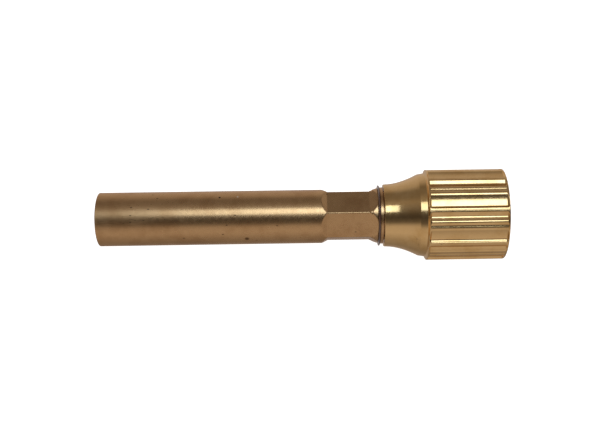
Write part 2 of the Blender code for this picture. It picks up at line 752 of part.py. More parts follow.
def make_head_shell():
    outline = [
        (HEAD_START, HEAD_NECK_BORE),
        (HEAD_START, NECK_RADIUS - EDGE_BREAK),
        (HEAD_START + EDGE_BREAK, NECK_RADIUS),
    ]
    outline += flare_outline()
    outline += [
        (BAND_END, BAND_END_RADIUS),
        (GRIP_START, HEAD_RADIUS),
        (LENGTH - EDGE_BREAK, HEAD_RADIUS),
        (LENGTH, HEAD_RADIUS - EDGE_BREAK),
        (LENGTH, HEAD_FRONT_BORE),
        (HEAD_SHOULDER, HEAD_FRONT_BORE),
        (HEAD_SHOULDER, HEAD_CAVITY_RADIUS),
        (HEAD_NECK_BORE_END, HEAD_CAVITY_RADIUS),
        (HEAD_NECK_BORE_END, HEAD_NECK_BORE),
    ]
    head = turned("head_shell", outline, BRASS_HEAD, FINE)
    cut(head, groove_cutter("wide_grooves", WIDE_GROOVE_ANGLE, WIDE_GROOVE_HALF_WIDTH,
                            WIDE_GROOVE_DEPTH, WIDE_GROOVE_LEAN, WIDE_GROOVE_FLOOR))
    cut(head, groove_cutter("narrow_grooves", NARROW_GROOVE_ANGLE, NARROW_GROOVE_HALF_WIDTH,
                            NARROW_GROOVE_DEPTH, NARROW_GROOVE_LEAN, NARROW_GROOVE_FLOOR))
    shape = bmesh.new()
    for angle in CAM_SCREW_ANGLES:
        y, z = round_the_axis(CAM_SCREW_CIRCLE, angle)
        add_cylinder(shape, SCREW_HOLE_RADIUS, HEAD_SHOULDER - SHOULDER_HOLE_DEPTH,
                     HEAD_SHOULDER + REACH, y, z, TINY)
    cut(head, finish_cutter("shoulder_screw_holes", shape))


def cam_slot(shape, first_angle):
    """A spiral slot. Its radius grows as the angle falls by the head's turn.

    The head turns from +Y towards +Z, so the far end of the slot is the one
    that lies behind the pin at rest, at a smaller angle.
    """
    steps = 12
    start = CAM_START - REACH / 4
    depth = CAM_THICKNESS + REACH / 2
    clear = degrees(CAM_SLOT_HALF_WIDTH / JAW_PIN_PLACE)
    sweep = HEAD_TURN + 2 * clear
    inner = []
    outer = []
    for i in range(steps + 1):
        behind = -clear + sweep * i / steps
        radius = JAW_PIN_PLACE + JAW_TRAVEL * behind / HEAD_TURN
        angle = first_angle - behind
        for side, points in ((-1, inner), (1, outer)):
            y, z = round_the_axis(radius + side * CAM_SLOT_HALF_WIDTH, angle)
            points.append((x_at(start), y, z))
    add_prism_shape(shape, inner + outer[::-1], (depth, 0.0, 0.0))


def make_cam_plate():
    """The plate that turns with the head and drives both jaws."""
    plate = ring("slit_cam_plate", CAM_START, CAM_START + CAM_THICKNESS,
                 CAM_WINDOW_RADIUS, CAM_RADIUS, BLACKENED)
    shape = bmesh.new()
    cam_slot(shape, 0.0)
    cam_slot(shape, 180.0)
    for angle in CAM_SCREW_ANGLES:
        y, z = round_the_axis(CAM_SCREW_CIRCLE, angle)
        add_cylinder(shape, SCREW_HOLE_RADIUS, CAM_START - REACH,
                     CAM_START + CAM_THICKNESS + REACH, y, z, TINY)
    cut(plate, finish_cutter("cam_slots", shape))
    for number, angle in enumerate(CAM_SCREW_ANGLES):
        y, z = round_the_axis(CAM_SCREW_CIRCLE, angle)
        make_screw("cam_screw_%d" % (number + 1), CAM_START + CAM_THICKNESS + CLOSE_FIT,
                   CAM_SCREW_HEAD, CAM_SCREW_SHANK, y, z)


def make_window():
    """The glass in front of the slit, and the rings that hold it."""
    spacer = ring("window_spacer", SPACER_START, SPACER_END, SPACER_INNER_RADIUS,
                  FRONT_FIT_RADIUS, BLACKENED)
    shape = bmesh.new()
    for angle in CAM_SCREW_ANGLES:
        y, z = round_the_axis(CAM_SCREW_CIRCLE, angle)
        add_cylinder(shape, SCREW_HEAD_RADIUS + FIT, SPACER_START - REACH,
                     SPACER_END - FIT, y, z, TINY)
    cut(spacer, finish_cutter("spacer_notches", shape))
    glass = [
        (WINDOW_START, 0.0),
        (WINDOW_START, WINDOW_RADIUS),
        (WINDOW_END, WINDOW_RADIUS),
        (WINDOW_END, 0.0),
    ]
    turned("slit_window", glass, CROWN_GLASS, closed=False)
    ring("window_seal_ring", SEAL_START, SEAL_END, SEAL_INNER_RADIUS, WINDOW_RADIUS, RUBBER)
    retainer = ring("window_retaining_ring", RETAINING_RING_START, RETAINING_RING_END,
                    RETAINING_RING_INNER_RADIUS, FRONT_FIT_RADIUS, BRASS_HEAD)
    shape = bmesh.new()
    side = SPANNER_SLOT_HALF_WIDTH
    low = -HEAD_FRONT_BORE - REACH
    outline = [
        (x_at(SPANNER_SLOT_START), -side, low),
        (x_at(RETAINING_RING_END + REACH), -side, low),
        (x_at(RETAINING_RING_END + REACH), side, low),
        (x_at(SPANNER_SLOT_START), side, low),
    ]
    add_prism_shape(shape, outline, (0.0, 0.0, 2 * (HEAD_FRONT_BORE + REACH)))
    cut(retainer, finish_cutter("spanner_slot", shape))


def make_head_bearing():
    """The O-ring behind the head, and what keeps the head on its spigot."""
    section = O_RING_SECTION / 2
    centre = O_RING_RADIUS - section
    outline = []
    for i in range(O_RING_SIDES):
        angle = 2 * pi * i / O_RING_SIDES
        outline.append((O_RING_STATION - section * cos(angle),
                        centre + section * sin(angle)))
    turned("head_o_ring", outline, RUBBER)
    ring("thrust_washer", WASHER_START, WASHER_END, SPIGOT_RING_INNER_RADIUS,
         WASHER_OUTER_RADIUS, STEEL, SMALL)
    ring("head_retaining_ring", SPIGOT_RING_START, SPIGOT_RING_END,
         SPIGOT_RING_INNER_RADIUS, SPIGOT_RING_OUTER_RADIUS, BRASS, SMALL)


clear_scene()
parts = new_collection("spectroscope")
cutters = new_collection("cutters")
make_main_tube()
make_eyepiece()
make_prism_train()
make_prism_cell()
make_collimator()
make_slit_base()
make_jaw_guides()
make_jaws()
make_head_shell()
make_cam_plate()
make_window()
make_head_bearing()
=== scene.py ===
"""Looks of the direct-vision spectroscope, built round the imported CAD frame."""

import json
from math import cos, pi, radians, sin, tan

import bpy
import numpy as np
from mathutils import Matrix, Vector


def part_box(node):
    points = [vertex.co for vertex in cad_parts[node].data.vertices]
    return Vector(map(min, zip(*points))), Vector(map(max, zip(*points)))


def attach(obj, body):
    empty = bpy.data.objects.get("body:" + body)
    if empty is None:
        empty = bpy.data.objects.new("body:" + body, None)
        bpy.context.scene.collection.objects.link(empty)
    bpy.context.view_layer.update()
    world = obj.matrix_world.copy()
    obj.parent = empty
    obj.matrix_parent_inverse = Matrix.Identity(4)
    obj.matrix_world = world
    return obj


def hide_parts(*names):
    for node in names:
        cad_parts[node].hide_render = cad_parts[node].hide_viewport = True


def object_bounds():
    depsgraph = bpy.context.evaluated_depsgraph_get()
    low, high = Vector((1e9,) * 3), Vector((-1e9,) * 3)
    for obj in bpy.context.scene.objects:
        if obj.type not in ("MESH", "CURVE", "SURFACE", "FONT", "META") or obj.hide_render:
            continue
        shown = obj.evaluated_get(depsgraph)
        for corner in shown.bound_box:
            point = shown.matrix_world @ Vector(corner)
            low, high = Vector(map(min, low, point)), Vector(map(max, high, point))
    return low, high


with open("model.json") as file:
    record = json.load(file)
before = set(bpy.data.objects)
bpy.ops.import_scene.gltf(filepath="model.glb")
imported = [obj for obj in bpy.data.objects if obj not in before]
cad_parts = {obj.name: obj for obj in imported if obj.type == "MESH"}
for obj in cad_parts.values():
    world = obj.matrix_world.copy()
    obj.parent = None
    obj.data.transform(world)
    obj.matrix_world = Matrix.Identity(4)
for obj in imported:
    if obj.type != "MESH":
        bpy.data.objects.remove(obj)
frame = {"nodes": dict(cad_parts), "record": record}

CAD_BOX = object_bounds()

# ------------------------------------------------------- places from the frame
TUBE_LOW, TUBE_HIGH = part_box("main_tube")
HEAD_LOW, HEAD_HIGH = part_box("head_shell")
RING_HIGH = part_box("head_o_ring")[1]
EYE_END = TUBE_LOW.x                      # stations are measured from here
TUBE_RADIUS = 0.0100                      # the plain tube, in metres
COLLAR_RADIUS = TUBE_HIGH.z
HEAD_RADIUS = min(HEAD_HIGH.y, HEAD_HIGH.z)
MM = 0.001


def x_at(station):
    """Place on X of a station in millimetres from the eye end."""
    return EYE_END + station * MM


def station_of(x):
    """Station in millimetres of a place on X."""
    return (x - EYE_END) / MM


# ------------------------------------------------------------- profile drawing
ARC_STEPS = 5                # pieces in each small curve at a corner
LONGEST_CUT = 0.45           # of the side that a corner cuts into
SUPPORT_REACH = 1.35         # of the cut, from the corner to its support point
LONGEST_SUPPORT = 0.49       # of the side
CLOSEST = 0.25               # of a step, between an added point and the next


def rounded_outline(points):
    """(station, radius) points in mm from (station, radius, corner) points.

    A corner is the length cut off each side and replaced by a small curve. A
    support point is left just outside each curve, so that flats shade flat.
    """
    out = []
    last = len(points) - 1
    for i, (s, r, corner) in enumerate(points):
        here = Vector((s, r))
        if corner <= 0 or i in (0, last):
            out.append((s, r))
            continue
        before = Vector(points[i - 1][:2])
        after = Vector(points[i + 1][:2])
        back = before - here
        on = after - here
        cut_back = min(corner, back.length * LONGEST_CUT)
        cut_on = min(corner, on.length * LONGEST_CUT)
        a = here + back.normalized() * cut_back
        b = here + on.normalized() * cut_on
        reach_back = min(cut_back * SUPPORT_REACH, back.length * LONGEST_SUPPORT)
        reach_on = min(cut_on * SUPPORT_REACH, on.length * LONGEST_SUPPORT)
        out.append(tuple(here + back.normalized() * reach_back))
        for k in range(ARC_STEPS + 1):
            t = k / ARC_STEPS
            p = a * (1 - t) ** 2 + here * (2 * t * (1 - t)) + b * t ** 2
            out.append(tuple(p))
        out.append(tuple(here + on.normalized() * reach_on))
    return out


def subdivide(outline, low, high, step):
    """Adds points to an outline between two stations, step mm apart."""
    out = [outline[0]]
    for (s0, r0), (s1, r1) in zip(outline, outline[1:]):
        start = min(max(s0, low), high)
        end = min(max(s1, low), high)
        pieces = int(np.ceil(abs(end - start) / step))
        for k in range(pieces + 1 if pieces else 0):
            station = start + (end - start) * k / pieces
            if min(abs(station - s0), abs(station - s1)) > step * CLOSEST:
                t = (station - s0) / (s1 - s0)
                out.append((station, r0 + (r1 - r0) * t))
        out.append((s1, r1))
    return out


def soft_min(a, b, width):
    """The smaller of a and b, with the corner between them rounded."""
    near = np.maximum(width - np.abs(a - b), 0.0) / width
    return np.minimum(a, b) - near * near * width / 4


# ---------------------------------------------------------------- mesh building
def ring_mesh(name, rings, count):
    """A closed mesh from rings round the X axis.

    Each ring is (station, radius or array of radii). The rings follow the
    section all the way round, along the outside from the eye end first.
    """
    angles = np.arange(count) * 2 * pi / count
    verts = []
    starts = []
    for station, radius in rings:
        starts.append(len(verts))
        r = np.broadcast_to(np.asarray(radius, float), (count,)) * MM
        verts.extend(zip(np.full(count, x_at(station)), r * np.cos(angles), r * np.sin(angles)))
    faces = []
    for a, b in zip(starts, starts[1:] + starts[:1]):
        for j in range(count):
            n = (j + 1) % count
            faces.append((a + j, a + n, b + n, b + j))
    mesh = bpy.data.meshes.new(name)
    mesh.from_pydata(verts, [], faces)
    mesh.shade_smooth()
    mesh.update()
    return mesh


def add_piece(name, mesh, material, body, node):
    """Puts a piece in the scene, on its body, in place of its CAD node."""
    piece = bpy.data.objects.new(name, mesh)
    bpy.context.scene.collection.objects.link(piece)
    mesh.materials.append(material)
    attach(piece, body)
    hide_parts(node)


# -------------------------------------------------------------------- materials
class Finish:
    """A material with a few short helpers for wiring its nodes."""

    def __init__(self, name):
        self.material = bpy.data.materials.new(name)
        self.material.use_nodes = True
        self.tree = self.material.node_tree
        self.shader = self.tree.nodes["Principled BSDF"]
        coordinates = self.tree.nodes.new("ShaderNodeTexCoord")
        self.place = coordinates.outputs["Object"]

    def link(self, source, target):
        self.tree.links.new(source, target)

    def put(self, target, value):
        """Links value to target if it is a socket, and sets it if not."""
        if isinstance(value, bpy.types.NodeSocket):
            self.link(value, target)
        else:
            target.default_value = value

    def stretched(self, scale):
        """Object coordinates in millimetres, multiplied by a scale."""
        mapping = self.tree.nodes.new("ShaderNodeMapping")
        self.link(self.place, mapping.inputs["Vector"])
        mapping.inputs["Scale"].default_value = [value / MM for value in scale]
        return mapping.outputs["Vector"]

    def noise(self, scale, detail=2.0, roughness=0.5):
        """Clouds, scale of them to a millimetre on each axis."""
        texture = self.tree.nodes.new("ShaderNodeTexNoise")
        self.link(self.stretched(scale), texture.inputs["Vector"])
        texture.inputs["Scale"].default_value = 1.0
        texture.inputs["Detail"].default_value = detail
        texture.inputs["Roughness"].default_value = roughness
        texture.inputs["Distortion"].default_value = 0.0
        return texture.outputs["Fac"]

    def spots(self, scale):
        """Distance to the nearest of many points strewn through space."""
        texture = self.tree.nodes.new("ShaderNodeTexVoronoi")
        self.link(self.stretched(scale), texture.inputs["Vector"])
        texture.inputs["Scale"].default_value = 1.0
        texture.inputs["Randomness"].default_value = 1.0
        return texture.outputs["Distance"]

    def spread(self, value, low, high, to_low=0.0, to_high=1.0):
        """value from low..high onto to_low..to_high, held at the ends."""
        ranger = self.tree.nodes.new("ShaderNodeMapRange")
        ranger.interpolation_type = "SMOOTHSTEP"
        self.put(ranger.inputs["Value"], value)
        ranger.inputs["From Min"].default_value = low
        ranger.inputs["From Max"].default_value = high
        self.put(ranger.inputs["To Min"], to_low)
        self.put(ranger.inputs["To Max"], to_high)
        return ranger.outputs["Result"]

    def calc(self, operation, a, b=0.0):
        math = self.tree.nodes.new("ShaderNodeMath")
        math.operation = operation
        self.put(math.inputs[0], a)
        self.put(math.inputs[1], b)
        return math.outputs[0]

    def along(self):
        """Place on the object's X axis, in millimetres."""
        split = self.tree.nodes.new("ShaderNodeSeparateXYZ")
        self.link(self.place, split.inputs[0])
        return self.calc("DIVIDE", split.outputs[0], MM)

    def mix(self, share, a, b):
        """Colour a turning into colour b as share goes from 0 to 1."""
        mixer = self.tree.nodes.new("ShaderNodeMix")
        mixer.data_type = "RGBA"
        self.put(mixer.inputs["Factor"], share)
        for socket, colour in (("A", a), ("B", b)):
            target = [s for s in mixer.inputs if s.identifier == socket + "_Color"][0]
            if isinstance(colour, bpy.types.NodeSocket):
                self.link(colour, target)
            else:
                target.default_value = (*colour, 1.0)
        return [s for s in mixer.outputs if s.identifier == "Result_Color"][0]

    def mark(self, station, around, size):
        """1 at a place on the tube, fading to 0 at size mm from it."""
        turn = radians(around)
        middle = (x_at(station), TUBE_RADIUS * cos(turn), TUBE_RADIUS * sin(turn))
        gap = self.tree.nodes.new("ShaderNodeVectorMath")
        gap.operation = "DISTANCE"
        self.link(self.place, gap.inputs[0])
        gap.inputs[1].default_value = middle
        return self.spread(gap.outputs["Value"], size * MM * MARK_CORE, size * MM, 1.0, 0.0)

    def bump(self, height, depth_mm, normal=None):
        """Bumps of a real depth in millimetres where height goes 0 to 1."""
        bumper = self.tree.nodes.new("ShaderNodeBump")
        bumper.inputs["Strength"].default_value = 1.0
        bumper.inputs["Distance"].default_value = depth_mm * MM
        self.link(height, bumper.inputs["Height"])
        if normal is not None:
            self.link(normal, bumper.inputs["Normal"])
        return bumper.outputs["Normal"]

    def set(self, **values):
        """Sets or links the shader's own sockets, by name."""
        for name, value in values.items():
            target = self.shader.inputs[name.replace("_", " ")]
            if isinstance(value, (tuple, list)) and len(value) == 3 and target.type == "RGBA":
                value = (*value, 1.0)
            self.put(target, value)


MARK_CORE = 0.4              # share of a mark's size that is fully stained
SCUFFED_FROM = -30.0         # mm on X, where the scuffs towards the eye end begin
SCUFFED_TO = -75.0           # and where they are strongest
PIT_STAIN = 0.75             # how far a pit takes the dull colour
PIT_ROUGHNESS = 0.3          # what a pit adds to the roughness
TURNING_DEPTH = 0.0009       # mm, of the fine marks round the axis
WAVE_DEPTH = 0.004           # mm, of the slight waviness
PIT_DEPTH = 0.01             # mm
# marks of use on the tube: station, angle from +Y towards +Z, size in mm, colour
MARKS = (
    (45.3, 48.7, 0.55, (0.05, 0.03, 0.02)),
    (51.9, 47.3, 0.45, (0.95, 0.88, 0.75)),
    (55.1, 148.5, 1.10, (0.22, 0.12, 0.05)),
)


def brass_finish(name, clean, tarnished, dull, polished, mottle, worn):
    """Turned brass: fine marks round the axis, tarnish in clouds, small pits.

    Worn brass is scuffed towards the eye end and has the marks of use.
    """
    brass = Finish(name)
    clouds = brass.noise((0.11, 0.11, 0.11), detail=4.0, roughness=0.6)
    tarnish = brass.spread(clouds, low=0.42, high=0.72)
    fine_clouds = brass.noise((0.7, 0.7, 0.7), detail=3.0, roughness=0.6)
    colour = brass.mix(tarnish, clean, tarnished)
    streaks = brass.noise((5.0, 0.25, 0.25), detail=3.0, roughness=0.6)
    streaked = brass.spread(streaks, low=0.55, high=0.85, to_low=0.0, to_high=0.35)
    colour = brass.mix(streaked, colour, tarnished)
    spots = brass.spots((0.16, 0.33, 0.33))
    pits = brass.spread(spots, low=0.05, high=0.09, to_low=1.0, to_high=0.0)
    colour = brass.mix(brass.calc("MULTIPLY", pits, PIT_STAIN), colour, dull)

    rough = brass.spread(fine_clouds, 0.35, 0.7, polished, polished + mottle)
    if worn:
        nearness = brass.spread(brass.along(), SCUFFED_TO, SCUFFED_FROM, 1.0, 0.0)
        scuffs = brass.noise((0.5, 2.2, 2.2), detail=5.0, roughness=0.75)
        scuffed = brass.spread(scuffs, low=0.35, high=0.65, to_low=0.02, to_high=0.16)
        rough = brass.calc("ADD", rough, brass.calc("MULTIPLY", nearness, scuffed))
        for station, around, size, stain in MARKS:
            colour = brass.mix(brass.mark(station, around, size), colour, stain)
    rough = brass.calc("ADD", rough, brass.calc("MULTIPLY", pits, PIT_ROUGHNESS))

    turning = brass.noise((9.0, 0.04, 0.04), detail=3.0, roughness=0.7)
    normal = brass.bump(turning, TURNING_DEPTH)
    waviness = brass.noise((0.35, 0.5, 0.5), detail=2.0)
    normal = brass.bump(waviness, WAVE_DEPTH, normal)
    normal = brass.bump(brass.calc("SUBTRACT", 1.0, pits), PIT_DEPTH, normal)
    brass.set(Base_Color=colour, Roughness=rough, Metallic=1.0, Normal=normal)
    return brass.material


COAT_ROUGHNESS = 0.12        # of the thin film on a glossy piece
COAT_INDEX = 1.8


def plain_finish(name, colour, other, rough_low, rough_high, metallic, grain, depth,
                 coat=0.0):
    """A fine-grained finish: two close tones, two roughnesses, a small bump."""
    finish = Finish(name)
    grains = finish.noise((grain, grain, grain), detail=3.0, roughness=0.6)
    clouds = finish.noise((0.3, 0.3, 0.3), detail=2.0)
    tone = finish.mix(finish.spread(clouds, 0.35, 0.65), colour, other)
    rough = finish.spread(grains, 0.3, 0.7, rough_low, rough_high)
    finish.set(Base_Color=tone, Roughness=rough, Metallic=metallic,
               Normal=finish.bump(grains, depth))
    finish.set(Coat_Weight=coat, Coat_Roughness=COAT_ROUGHNESS, Coat_IOR=COAT_INDEX)
    return finish.material


def glass_finish(name, tint, index):
    """Clear glass with faint smears."""
    glass = Finish(name)
    smears = glass.noise((0.25, 0.4, 0.4), detail=3.0)
    glass.set(Base_Color=tint, Roughness=glass.spread(smears, 0.4, 0.8, 0.015, 0.05),
              Transmission_Weight=1.0, IOR=index)
    return glass.material


TUBE_BRASS = brass_finish("tube_brass", (0.70, 0.45, 0.225), (0.58, 0.35, 0.165),
                          (0.10, 0.055, 0.03), 0.25, 0.05, True)
HEAD_BRASS = brass_finish("head_brass", (0.92, 0.64, 0.30), (0.80, 0.52, 0.21),
                          (0.30, 0.13, 0.05), 0.15, 0.04, False)
INNER_BRASS = brass_finish("inner_brass", (0.66, 0.45, 0.20), (0.52, 0.33, 0.15),
                           (0.10, 0.055, 0.03), 0.28, 0.06, False)
BLACKENED = plain_finish("blackened_brass", (0.020, 0.019, 0.018), (0.045, 0.038, 0.030),
                         0.42, 0.62, 0.35, 6.0, 0.004)
STEEL = plain_finish("ground_steel", (0.52, 0.52, 0.53), (0.44, 0.44, 0.46),
                     0.22, 0.38, 1.0, 5.0, 0.002)
RUBBER = plain_finish("nitrile_rubber", (0.085, 0.034, 0.026), (0.150, 0.065, 0.045),
                      0.16, 0.30, 0.0, 4.0, 0.001, 1.0)
CORK = plain_finish("sheet_cork", (0.42, 0.28, 0.16), (0.28, 0.17, 0.09),
                    0.8, 0.95, 0.0, 2.2, 0.08)
FELT = plain_finish("wool_felt", (0.12, 0.03, 0.03), (0.07, 0.018, 0.02),
                    0.9, 1.0, 0.0, 7.0, 0.06)
CROWN = glass_finish("crown_glass", (0.95, 0.98, 0.97), 1.517)
FLINT = glass_finish("flint_glass", (0.98, 0.97, 0.91), 1.62)


# -------------------------------------------------------------- the main tube
FLATS_HALF = 8.5             # mm from the axis to a wrench flat
FLATS_START = 84.8
FLATS_END = 100.3
RAMP_SLOPE = tan(radians(34))      # where the flats run out into the tube
COLLAR_SLOPE = tan(radians(28))    # and into the collar
CORNER_ROUND = 0.30          # of the hexagon's corners
COLLAR_START = 101.3
COLLAR_STEP = 0.25           # mm along the tube that its step up takes
COLLAR_END = 103.45
RING_SEAT = 9.75             # radius under the ring
RING_REST = 104.35           # the ring lies between the collar and this shoulder
SHOULDER = 10.55             # its radius
SHOULDER_END = 105.4
SPIGOT = 9.0                 # radius of the spigot that the head turns on
BORE = 7.5
EYE_BORE = 8.8               # wider bore that takes the eyepiece
EYE_BORE_DEPTH = 30.0
EYE_RIM = 8.9                # inside radius of the end face
EYE_RIM_CURVE = ((0.3, EYE_BORE), (0.15, 8.83))      # from the bore round to it
TUBE_SEGMENTS = 576
FINE_FROM = 81.5             # the rings are close together between these
FINE_TO = 104.2
FINE_STEP = 0.13
PLAIN_FROM = 0.5             # and far apart on the plain tube
PLAIN_STEP = 6.0
FLATS_FROM = 80.0            # the flats and their ramps all lie between these
FLATS_TO = 105.0
FLATS_EDGE = 0.16            # how softly the edges of the flats are rounded


def flats_radius(station, angles):
    """How far out the six wrench flats and their ramps leave material."""
    height = FLATS_HALF + max((FLATS_START - station) * RAMP_SLOPE,
                              (station - FLATS_END) * COLLAR_SLOPE, 0.0)
    sixth = pi / 3
    off = np.abs((angles + sixth / 2) % sixth - sixth / 2)
    return soft_min(height / np.cos(off), height / np.cos(sixth - off), CORNER_ROUND)


def make_tube():
    """The long tube with its flats, collar, ring seat and spigot."""
    angles = np.arange(TUBE_SEGMENTS) * 2 * pi / TUBE_SEGMENTS
    radius = TUBE_RADIUS / MM
    collar = COLLAR_RADIUS / MM
    spigot_end = station_of(TUBE_HIGH.x)
    # station, radius and corner of each point of the section, in mm
    outside = [
        (0.0, EYE_RIM, 0.0), (0.0, radius, 0.28), (COLLAR_START, radius, 0.08),
        (COLLAR_START + COLLAR_STEP, collar, 0.12), (COLLAR_END, collar, 0.22),
        (COLLAR_END, RING_SEAT, 0.10), (RING_REST, RING_SEAT, 0.08),
        (RING_REST, SHOULDER, 0.12), (SHOULDER_END, SHOULDER, 0.12),
        (SHOULDER_END, SPIGOT, 0.08), (spigot_end, SPIGOT, 0.2), (spigot_end, BORE, 0.1),
    ]
    outline = rounded_outline(outside)
    outline = subdivide(outline, FINE_FROM, FINE_TO, FINE_STEP)
    outline = subdivide(outline, PLAIN_FROM, FINE_FROM, PLAIN_STEP)
    rings = []
    for station, r in outline:
        if FLATS_FROM < station < FLATS_TO:
            r = soft_min(r, flats_radius(station, angles), FLATS_EDGE)
        rings.append((station, r))
    rings += [(EYE_BORE_DEPTH, BORE), (EYE_BORE_DEPTH, EYE_BORE), *EYE_RIM_CURVE]
    mesh = ring_mesh("tube_body", rings, TUBE_SEGMENTS)
    add_piece("tube_body", mesh, TUBE_BRASS, "barrel", "main_tube")


# ------------------------------------------------------------------- the head
GROOVE_REPEATS = 8           # of each kind of groove round the grip
FLARE_START = 106.8
FLARE_POWER = 1.75           # how late the flare opens
GRIP_FOOT = 120.9            # where the step up from the band begins
GRIP_START = 121.5
GROOVE_FULL_START = 0.6      # mm from the start of the grip to full depth
GROOVE_FULL_END = 0.9        # mm from full depth to the rim
GROOVE_RUN_OUT = 1.25        # slope at both ends
GROOVE_EDGE = 0.278          # how softly the edges are rounded, mm
NECK_BORE = 9.25
NECK_BORE_END = 110.0
NECK_START = 11.6            # radius of the neck at its two ends
NECK_END = 11.70
FLARE_END = 118.4
FLARE_RISE = 3.5             # growth of the radius along the flare
FLARE_STEPS = 22
BAND_START = 15.20           # radius of the band at its two ends
BAND_END = 15.62
FRONT_BORE = 14.2            # takes the window and its rings
FRONT_BORE_END = 142.5
CAVITY = 11.2                # radius of the space behind it
HEAD_SEGMENTS = 1200
FLARE_FINE_FROM = 107.0
FLARE_FINE_TO = 121.0
FLARE_FINE_STEP = 0.4
GRIP_FINE_STEP = 0.10
GRIP_FINE_START = 1.6        # mm of the grip's start with rings close together
RIM_FINE_FROM = 1.2          # and of its end, measured back from the rim
RIM_FINE_TO = 0.5
GRIP_STEP = 2.0
FARTHEST_WALL = 3            # half widths out from the floor, well clear of the grip
# angle from +Y towards +Z, half width, depth, lean of the floor, power of the wall
GROOVES = (
    (80.26, 2.634, 0.975, 1.568, 2.41),
    (55.01, 1.667, 0.935, -0.131, 1.46),
    (65.54, 0.646, 0.220, 0.088, 1.87),
)


def groove_floor(angles, middle, half_width, depth, lean, power):
    """Radius left by one kind of groove, repeated round the grip."""
    pitch = 2 * pi / GROOVE_REPEATS
    off = (angles - radians(middle) + pitch / 2) % pitch - pitch / 2
    along = off * HEAD_RADIUS / MM
    wall = np.where(along > lean, (along - lean) / (half_width - lean),
                    (lean - along) / (half_width + lean))
    return HEAD_RADIUS / MM - depth * (1 - np.clip(wall, 0, FARTHEST_WALL) ** power)


def grip_radius(station, angles, radius, start, end):
    """The grip at a station: its plain radius with every kind of groove."""
    rise = max(start + GROOVE_FULL_START - station, station - end + GROOVE_FULL_END, 0.0)
    for groove in GROOVES:
        floor = groove_floor(angles, *groove) + rise * GROOVE_RUN_OUT
        radius = soft_min(radius, floor, GROOVE_EDGE)
    return radius


def flare_points():
    """The hollow curve from the neck to the band, without corners."""
    points = []
    for i in range(1, FLARE_STEPS):
        t = i / FLARE_STEPS
        station = FLARE_START + t * (FLARE_END - FLARE_START)
        points.append((station, NECK_END + FLARE_RISE * t ** FLARE_POWER, 0.0))
    return points


def make_head():
    """The turning head: neck, flare, band and fluted grip in one piece."""
    angles = np.arange(HEAD_SEGMENTS) * 2 * pi / HEAD_SEGMENTS
    radius = HEAD_RADIUS / MM
    start = station_of(HEAD_LOW.x)
    end = station_of(HEAD_HIGH.x)
    # station, radius and corner of each point of the section, in mm
    outside = [(start, NECK_BORE, 0.0), (start, NECK_START, 0.25)]
    outside += [(FLARE_START, NECK_END, 0.0)] + flare_points()
    outside += [
        (FLARE_END, BAND_START, 0.12), (GRIP_FOOT, BAND_END, 0.10),
        (GRIP_START, radius, 0.16), (end, radius, 0.35), (end, FRONT_BORE, 0.12),
        (FRONT_BORE_END, FRONT_BORE, 0.0),
    ]
    grip_fine_to = GRIP_START + GRIP_FINE_START
    rim_fine_from = end - RIM_FINE_FROM
    outline = rounded_outline(outside)
    outline = subdivide(outline, FLARE_FINE_FROM, FLARE_FINE_TO, FLARE_FINE_STEP)
    outline = subdivide(outline, GRIP_START, grip_fine_to, GRIP_FINE_STEP)
    outline = subdivide(outline, rim_fine_from, end - RIM_FINE_TO, GRIP_FINE_STEP)
    outline = subdivide(outline, grip_fine_to, rim_fine_from, GRIP_STEP)
    rings = []
    for station, r in outline:
        if GRIP_FOOT < station < end and r > BAND_START:
            r = grip_radius(station, angles, r, GRIP_START, end)
        rings.append((station, r))
    rings += [(FRONT_BORE_END, CAVITY), (NECK_BORE_END, CAVITY), (NECK_BORE_END, NECK_BORE)]
    mesh = ring_mesh("head_body", rings, HEAD_SEGMENTS)
    add_piece("head_body", mesh, HEAD_BRASS, "head", "head_shell")


# ----------------------------------------------------------------- the O-ring
RING_CLEARANCE = 0.06        # each side, to the collar and the shoulder
RING_HALF_HEIGHT = 0.72
RING_SIDES = 40
RING_SEGMENTS = 384


def make_o_ring():
    """A narrow glossy rubber ring between the collar and the shoulder."""
    middle = (COLLAR_END + RING_REST) / 2
    half_width = (RING_REST - COLLAR_END) / 2 - RING_CLEARANCE
    centre = RING_HIGH.z / MM - RING_HALF_HEIGHT
    rings = []
    for i in range(RING_SIDES):
        angle = 2 * pi * i / RING_SIDES
        rings.append((middle - half_width * cos(angle),
                      centre + RING_HALF_HEIGHT * sin(angle)))
    mesh = ring_mesh("o_ring", rings, RING_SEGMENTS)
    add_piece("o_ring", mesh, RUBBER, "barrel", "head_o_ring")


make_tube()
make_head()
make_o_ring()


# -------------------------------------------------- CAD nodes that stay as made
NODE_FINISH = {
    "tube_brass": INNER_BRASS, "head_brass": HEAD_BRASS, "blackened_brass": BLACKENED,
    "steel": STEEL, "rubber": RUBBER, "crown_glass": CROWN, "flint_glass": FLINT,
    "cork": CORK, "felt": FELT,
}
for part in frame["record"]["subparts"]:
    node = frame["nodes"][part["node"]]
    node.data.materials.clear()
    node.data.materials.append(NODE_FINISH[part["material_slot"]])


# ------------------------------------------------------------ floor and lights
FLOOR_HALF = 3.0
FLOOR_GAP = 0.0002           # between the floor and the lowest point above it


